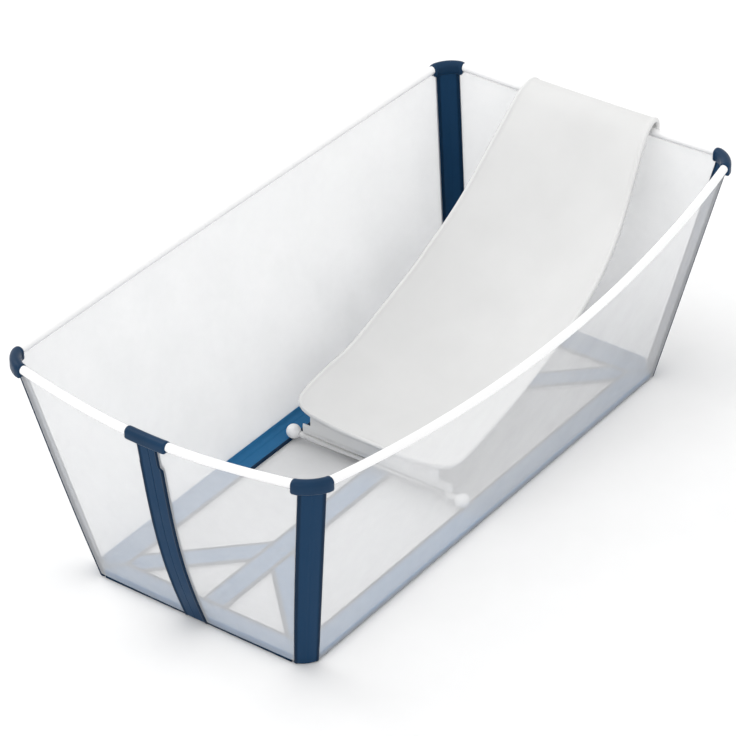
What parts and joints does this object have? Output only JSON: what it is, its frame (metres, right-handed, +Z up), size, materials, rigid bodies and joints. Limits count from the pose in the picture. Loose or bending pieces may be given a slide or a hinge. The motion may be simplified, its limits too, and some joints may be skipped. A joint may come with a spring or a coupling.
{
  "type": "folding baby bathtub",
  "caption": "Folding rectangular baby bathtub with translucent panels, flexible hinge strips, flared walls and a reclined newborn support hooked over one end.",
  "frame": {"origin": "on the floor, under the middle of the tub", "axes": "+X towards the head end where the newborn support hooks on, +Y towards the left wall, +Z up"},
  "size_m": [0.686, 0.3758, 0.2347],
  "materials": {
    "panel": "frosted translucent polypropylene",
    "hinge_strip": "soft satin thermoplastic elastomer, navy blue",
    "rim_bead": "satin white",
    "support": "fine matt, off-white",
    "drain": "satin navy blue"
  },
  "bodies": {
    "wall_right": {"wall_right_panel": "panel", "rim_bead_wall_right": "rim_bead", "bottom_strip_right": "hinge_strip", "corner_strip_foot_right": "hinge_strip", "corner_strip_head_right": "hinge_strip", "rim_cap_foot_right": "hinge_strip", "rim_cap_head_right": "hinge_strip"},
    "base_right": {"base_right_panel": "panel", "base_centre_strip": "hinge_strip", "base_diagonal_strip_foot_right": "hinge_strip", "base_diagonal_strip_head_right": "hinge_strip"},
    "base_left": {"base_left_panel": "panel", "base_diagonal_strip_foot_left": "hinge_strip", "base_diagonal_strip_head_left": "hinge_strip", "drain_ring": "drain", "bottom_strip_left": "hinge_strip"},
    "wall_left": {"wall_left_panel": "panel", "rim_bead_wall_left": "rim_bead", "corner_strip_foot_left": "hinge_strip", "corner_strip_head_left": "hinge_strip", "rim_cap_foot_left": "hinge_strip", "rim_cap_head_left": "hinge_strip"},
    "end_foot_right": {"end_foot_right_panel": "panel", "rim_bead_end_foot_right": "rim_bead", "end_strip_foot": "hinge_strip", "rim_cap_foot_centre": "hinge_strip", "bottom_strip_foot": "hinge_strip"},
    "base_foot_right_triangle": {"base_triangle_foot_right": "panel"},
    "end_foot_left": {"end_foot_left_panel": "panel", "rim_bead_end_foot_left": "rim_bead"},
    "base_foot_left_triangle": {"base_triangle_foot_left": "panel"},
    "end_head_right": {"end_head_right_panel": "panel", "rim_bead_end_head_right": "rim_bead", "end_strip_head": "hinge_strip", "rim_cap_head_centre": "hinge_strip", "bottom_strip_head": "hinge_strip"},
    "base_head_right_triangle": {"base_triangle_head_right": "panel"},
    "end_head_left": {"end_head_left_panel": "panel", "rim_bead_end_head_left": "rim_bead"},
    "base_head_left_triangle": {"base_triangle_head_left": "panel"},
    "newborn_support": {"support_shell": "support", "support_skirt": "support", "support_lug_right": "support", "support_lug_left": "support"},
    "support_stand": {"support_hinge_rod": "support", "support_leg_plate": "support", "support_foot_bar": "support", "support_foot_right": "support", "support_foot_left": "support"},
    "drain_plug": {"drain_plug": "drain"}
  },
  "joints": [
    {"name": "fold", "type": "hinge", "parent": "wall_right", "child": "base_right", "pos_m": [0, -0.1172, 0.0043], "axis": [1, 0, 0], "range_deg": [0, 66], "deforming": ["bottom_strip_right"]},
    {"name": "base_crease", "type": "hinge", "parent": "base_right", "child": "base_left", "pos_m": [0, 0, 0.0017], "axis": [1, 0, 0], "range_deg": [-132, 0], "deforming": ["base_centre_strip"]},
    {"name": "wall_left_crease", "type": "hinge", "parent": "base_left", "child": "wall_left", "pos_m": [0, 0.1172, 0.0043], "axis": [1, 0, 0], "range_deg": [0, 66], "deforming": ["bottom_strip_left"]},
    {"name": "corner_foot_right", "type": "hinge", "parent": "wall_right", "child": "end_foot_right", "pos_m": [-0.27943, -0.115, 0], "axis": [-0.1809, -0.1767, 0.9675], "range_deg": [-66, 0], "deforming": ["corner_strip_foot_right", "rim_cap_foot_right", "end_strip_foot", "rim_cap_foot_centre", "bottom_strip_foot"]},
    {"name": "diagonal_foot_right", "type": "hinge", "parent": "base_right", "child": "base_foot_right_triangle", "pos_m": [-0.28, -0.119, 0.0009], "axis": [0.7071, 0.7071, 0], "range_deg": [-153.12, 0], "deforming": ["base_diagonal_strip_foot_right"]},
    {"name": "corner_foot_left", "type": "hinge", "parent": "wall_left", "child": "end_foot_left", "pos_m": [-0.27943, 0.115, 0], "axis": [-0.1809, 0.1767, 0.9675], "range_deg": [0, 66], "deforming": ["corner_strip_foot_left", "rim_cap_foot_left"]},
    {"name": "diagonal_foot_left", "type": "hinge", "parent": "base_left", "child": "base_foot_left_triangle", "pos_m": [-0.28, 0.119, 0.0009], "axis": [0.7071, -0.7071, 0], "range_deg": [0, 153.12], "deforming": ["base_diagonal_strip_foot_left"]},
    {"name": "corner_head_right", "type": "hinge", "parent": "wall_right", "child": "end_head_right", "pos_m": [0.27943, -0.115, 0], "axis": [0.1809, -0.1767, 0.9675], "range_deg": [0, 66], "deforming": ["corner_strip_head_right", "rim_cap_head_right", "end_strip_head", "rim_cap_head_centre", "bottom_strip_head"]},
    {"name": "diagonal_head_right", "type": "hinge", "parent": "base_right", "child": "base_head_right_triangle", "pos_m": [0.28, -0.119, 0.0009], "axis": [-0.7071, 0.7071, 0], "range_deg": [0, 153.12], "deforming": ["base_diagonal_strip_head_right"]},
    {"name": "corner_head_left", "type": "hinge", "parent": "wall_left", "child": "end_head_left", "pos_m": [0.27943, 0.115, 0], "axis": [0.1809, 0.1767, 0.9675], "range_deg": [-66, 0], "deforming": ["corner_strip_head_left", "rim_cap_head_left"]},
    {"name": "diagonal_head_left", "type": "hinge", "parent": "base_left", "child": "base_head_left_triangle", "pos_m": [0.28, 0.119, 0.0009], "axis": [-0.7071, -0.7071, 0], "range_deg": [-153.12, 0], "deforming": ["base_diagonal_strip_head_left"]},
    {"name": "support_lift", "type": "slide", "parent": "wall_right", "child": "newborn_support", "axis": [0, 0, 1], "range_m": [0, 0.5]},
    {"name": "stand_fold", "type": "hinge", "parent": "newborn_support", "child": "support_stand", "pos_m": [-0.016, 0, 0.027], "axis": [0, 1, 0], "range_deg": [-85, 0]},
    {"name": "plug_lift", "type": "slide", "parent": "base_left", "child": "drain_plug", "axis": [0, 0, 1], "range_m": [0, 0.015]}
  ],
  "couplings": [
    {"joint": "base_crease", "follows": "fold", "ratio": -2},
    {"joint": "wall_left_crease", "follows": "fold", "ratio": 1},
    {"joint": "corner_foot_right", "follows": "fold", "ratio": -1},
    {"joint": "diagonal_foot_right", "follows": "fold", "ratio": -2.32},
    {"joint": "corner_foot_left", "follows": "fold", "ratio": 1},
    {"joint": "diagonal_foot_left", "follows": "fold", "ratio": 2.32},
    {"joint": "corner_head_right", "follows": "fold", "ratio": 1},
    {"joint": "diagonal_head_right", "follows": "fold", "ratio": 2.32},
    {"joint": "corner_head_left", "follows": "fold", "ratio": -1},
    {"joint": "diagonal_head_left", "follows": "fold", "ratio": -2.32},
    {"joint": "support_lift", "follows": "fold", "m_per_rad": 0.409}
  ]
}
